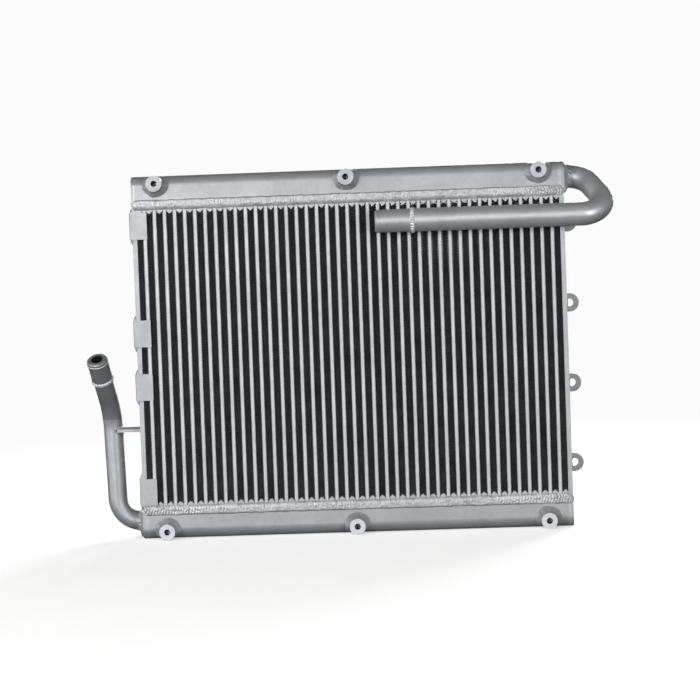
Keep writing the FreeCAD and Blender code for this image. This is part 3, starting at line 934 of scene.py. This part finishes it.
def ferrule_size(name, tip, axis):
    """Length and outside radius of a ferrule that starts at its tip."""
    points = [vertex.co - tip for vertex in frame["nodes"][name].data.vertices]
    length = max(point.dot(axis) for point in points)
    radius = max((point - axis * point.dot(axis)).length for point in points)
    return length, radius


# ================= Finishes =================

def finish_cad_nodes(metals):
    """Gives every CAD node its material; each boss has turning rings round its own centre."""
    for name, node in frame["nodes"].items():
        if name.startswith("boss_"):
            low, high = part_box(name)
            # Lower bosses get lighter tones than upper ones: painted light.
            tones = UPPER_BOSS_SHADE_TONES if "upper" in name else LOWER_BOSS_PAINTED_LIGHT_TONES
            material = turned_metal(f"turned_{name}", (low + high) / 2, tones)
        else:
            material = metals[material_of(name)]
        node.data.materials.clear()
        node.data.materials.append(material)


def material_of(name):
    """The key of a node's material, by the first word that its name holds."""
    for word, key in (
            ("inlet_hose", "inlet_ferrule"), ("ferrule", "ferrule"), ("_pipe_strap", "bracket"),
            ("inlet_pipe", "inlet"), ("pipe", "pipe"), ("tank", "tank"),
            ("passage_bars", "bar"), ("header_bars", "header"), ("parting", "sheet"),
            ("side_plate", "side"), ("turbulator", "sheet"), ("fins", "fin"),
            ("clip", "bracket"), ("ear", "bracket")):
        if word in name:
            return key
    return "tank"


def make_metals():
    """The materials of the CAD nodes and the welds, by key."""
    return {
        "tank": aluminium(
            "tank_satin", (0.26, 0.305), 0.5, (0.42, 0.55), lines=ALONG_X, spots=0.06),
        "pipe": aluminium("pipe_satin", PIPE_TONES, 0.62, (0.4, 0.5), **PIPE_GRAIN),
        "inlet": pipe_in_painted_shade("inlet_painted_shade"),
        "ferrule": aluminium(
            "ferrule_satin", (0.32, 0.37), 0.58, (0.42, 0.52), grain=1300, spots=0.08),
        # The inlet ferrule is darker than the outlet one: painted shade, like the upper inlet pipe.
        "inlet_ferrule": aluminium(
            "ferrule_painted_shade", (0.16, 0.21), 0.5, (0.4, 0.52), grain=1300, spots=0.12),
        "bar": aluminium(
            "bar_satin", (0.35, 0.42), 0.3, (0.45, 0.6), lines=ALONG_Z, spots=0.08),
        "header": aluminium("header_satin", (0.28, 0.34), 0.4, (0.42, 0.58), spots=0.15),
        # Near-black sheet material, also used for the boss threads: painted shade between bars and
        # fins and in the boss holes.
        "sheet": aluminium("sheet_painted_shade", (0.04, 0.07), 0.5, (0.4, 0.55)),
        "side": aluminium(
            "side_satin", (0.28, 0.34), 0.4, (0.42, 0.55), lines=ALONG_Z, spots=0.08),
        "bracket": aluminium("bracket_satin", (0.265, 0.315), 0.35, (0.42, 0.55), spots=0.08),
        "fin": fin_painted_shade("fin_painted_shade"),
        "weld": weld_metal("weld_satin", (0.27, 0.36)),
        # A lighter copy of the weld metal for the ferrule welds and the inlet hose stop: painted
        # light.
        "ring_weld_painted_light": weld_metal("weld_painted_light", (0.42, 0.58)),
    }


# ================= Stage, light and camera =================

def add_floor():
    """A round pale floor under the object."""
    turn = math.tau / FLOOR_SIDES
    rim = [(FLOOR_RADIUS * math.cos(turn * index), FLOOR_RADIUS * math.sin(turn * index), 0)
           for index in range(FLOOR_SIDES)]
    mesh = bpy.data.meshes.new("floor")
    mesh.from_pydata(rim, [], [tuple(range(FLOOR_SIDES))])
    mesh.materials.append(stage_white("floor_pale"))
    floor = bpy.data.objects.new("floor", mesh)
    floor.location = (0, CAMERA_TARGET.y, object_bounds()[0].z - FLOOR_GAP)
    floor.visible_diffuse = False
    floor.visible_glossy = False
    bpy.context.scene.collection.objects.link(floor)


def add_light(name, place, size, power):
    """A rectangular light that faces the frame's origin."""
    data = bpy.data.lights.new(name, "AREA")
    data.shape = "RECTANGLE"
    data.size, data.size_y = size
    data.energy = power
    light = bpy.data.objects.new(name, data)
    light.location = place
    light.rotation_euler = (-Vector(place)).to_track_quat("-Z", "Y").to_euler()
    light.visible_camera = False
    bpy.context.scene.collection.objects.link(light)


def add_world():
    """Pale backdrop, and a grey surround, stronger in front, that lights the metal."""
    world = bpy.data.worlds.new("backdrop")
    bpy.context.scene.world = world
    world.use_nodes = True
    tree = world.node_tree
    seen = tree.nodes["Background"]
    seen.inputs["Color"].default_value = BACKDROP
    lit = add_node(tree, "ShaderNodeBackground")
    coords = add_node(tree, "ShaderNodeTexCoord")
    split = add_node(tree, "ShaderNodeSeparateXYZ")
    ramp = add_node(tree, "ShaderNodeValToRGB")
    elements = ramp.color_ramp.elements
    while len(elements) < len(SURROUND):
        elements.new(0.5)
    for element, (position, level, tint) in zip(elements, SURROUND):
        element.position = position
        element.color = (*(level * part for part in tint), 1)
    height = add_node(tree, "ShaderNodeMapRange")
    height.inputs["From Min"].default_value = -1
    facing = add_node(tree, "ShaderNodeMapRange", interpolation_type="SMOOTHSTEP")
    facing.inputs["From Min"].default_value = -0.8
    facing.inputs["From Max"].default_value = 0.5
    facing.inputs["To Min"].default_value = 1.0
    facing.inputs["To Max"].default_value = 0.35
    path = add_node(tree, "ShaderNodeLightPath")
    mix = add_node(tree, "ShaderNodeMixShader")
    tree.links.new(coords.outputs["Generated"], split.inputs["Vector"])
    tree.links.new(split.outputs["Z"], height.inputs["Value"])
    tree.links.new(height.outputs["Result"], ramp.inputs["Fac"])
    tree.links.new(ramp.outputs["Color"], lit.inputs["Color"])
    tree.links.new(split.outputs["Y"], facing.inputs["Value"])
    tree.links.new(facing.outputs["Result"], lit.inputs["Strength"])
    tree.links.new(path.outputs["Is Camera Ray"], mix.inputs["Fac"])
    tree.links.new(lit.outputs["Background"], mix.inputs[1])
    tree.links.new(seen.outputs["Background"], mix.inputs[2])
    tree.links.new(mix.outputs["Shader"], tree.nodes["World Output"].inputs["Surface"])


def add_camera():
    """A camera that looks at the object from the front, slightly from above and a little tilted."""
    data = bpy.data.cameras.new("camera")
    data.lens = CAMERA_LENS
    camera = bpy.data.objects.new("camera", data)
    yaw, tilt, roll = CAMERA_YAW, CAMERA_ELEVATION, CAMERA_ROLL
    ahead = Vector((-math.sin(yaw), math.cos(yaw), 0))
    forward = ahead * math.cos(tilt) - Z_AXIS * math.sin(tilt)
    right = Vector((math.cos(yaw), math.sin(yaw), 0))
    up = right.cross(forward)
    across = right * math.cos(roll) + up * math.sin(roll)
    upward = up * math.cos(roll) - right * math.sin(roll)
    turn = Matrix((across, upward, -forward)).transposed()
    place = CAMERA_TARGET - forward * CAMERA_DISTANCE
    camera.matrix_world = Matrix.Translation(place) @ turn.to_4x4()
    bpy.context.scene.collection.objects.link(camera)
    bpy.context.scene.camera = camera


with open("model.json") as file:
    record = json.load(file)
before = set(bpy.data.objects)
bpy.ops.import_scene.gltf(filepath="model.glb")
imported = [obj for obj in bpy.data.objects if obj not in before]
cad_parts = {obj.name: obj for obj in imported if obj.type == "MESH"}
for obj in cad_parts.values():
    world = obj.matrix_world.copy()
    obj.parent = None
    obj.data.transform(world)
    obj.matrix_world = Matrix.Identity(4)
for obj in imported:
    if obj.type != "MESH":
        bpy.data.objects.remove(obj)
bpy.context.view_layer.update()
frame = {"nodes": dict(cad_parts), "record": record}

metals = make_metals()
finish_cad_nodes(metals)
# Painted shade in the bore of the inlet ferrule.
tip, inward = inlet_tip()
paint_bore_shade(metals["inlet_ferrule"], tip, inward, BORE_RADIUS)
wavy_fins(metals["fin"])
core_seams(metals["weld"])
boss_welds(metals["weld"], metals["sheet"])
port_welds(metals["weld"])
cap_seams(metals["weld"])
clip_welds(metals["weld"])
ear_welds(metals["weld"])
strap_welds(metals["weld"])
ferrule_welds(metals["ring_weld_painted_light"], metals["ferrule"])
add_floor()
for light in LIGHTS:
    add_light(*light)
add_world()
add_camera()
bpy.context.scene.view_settings.view_transform = "Standard"
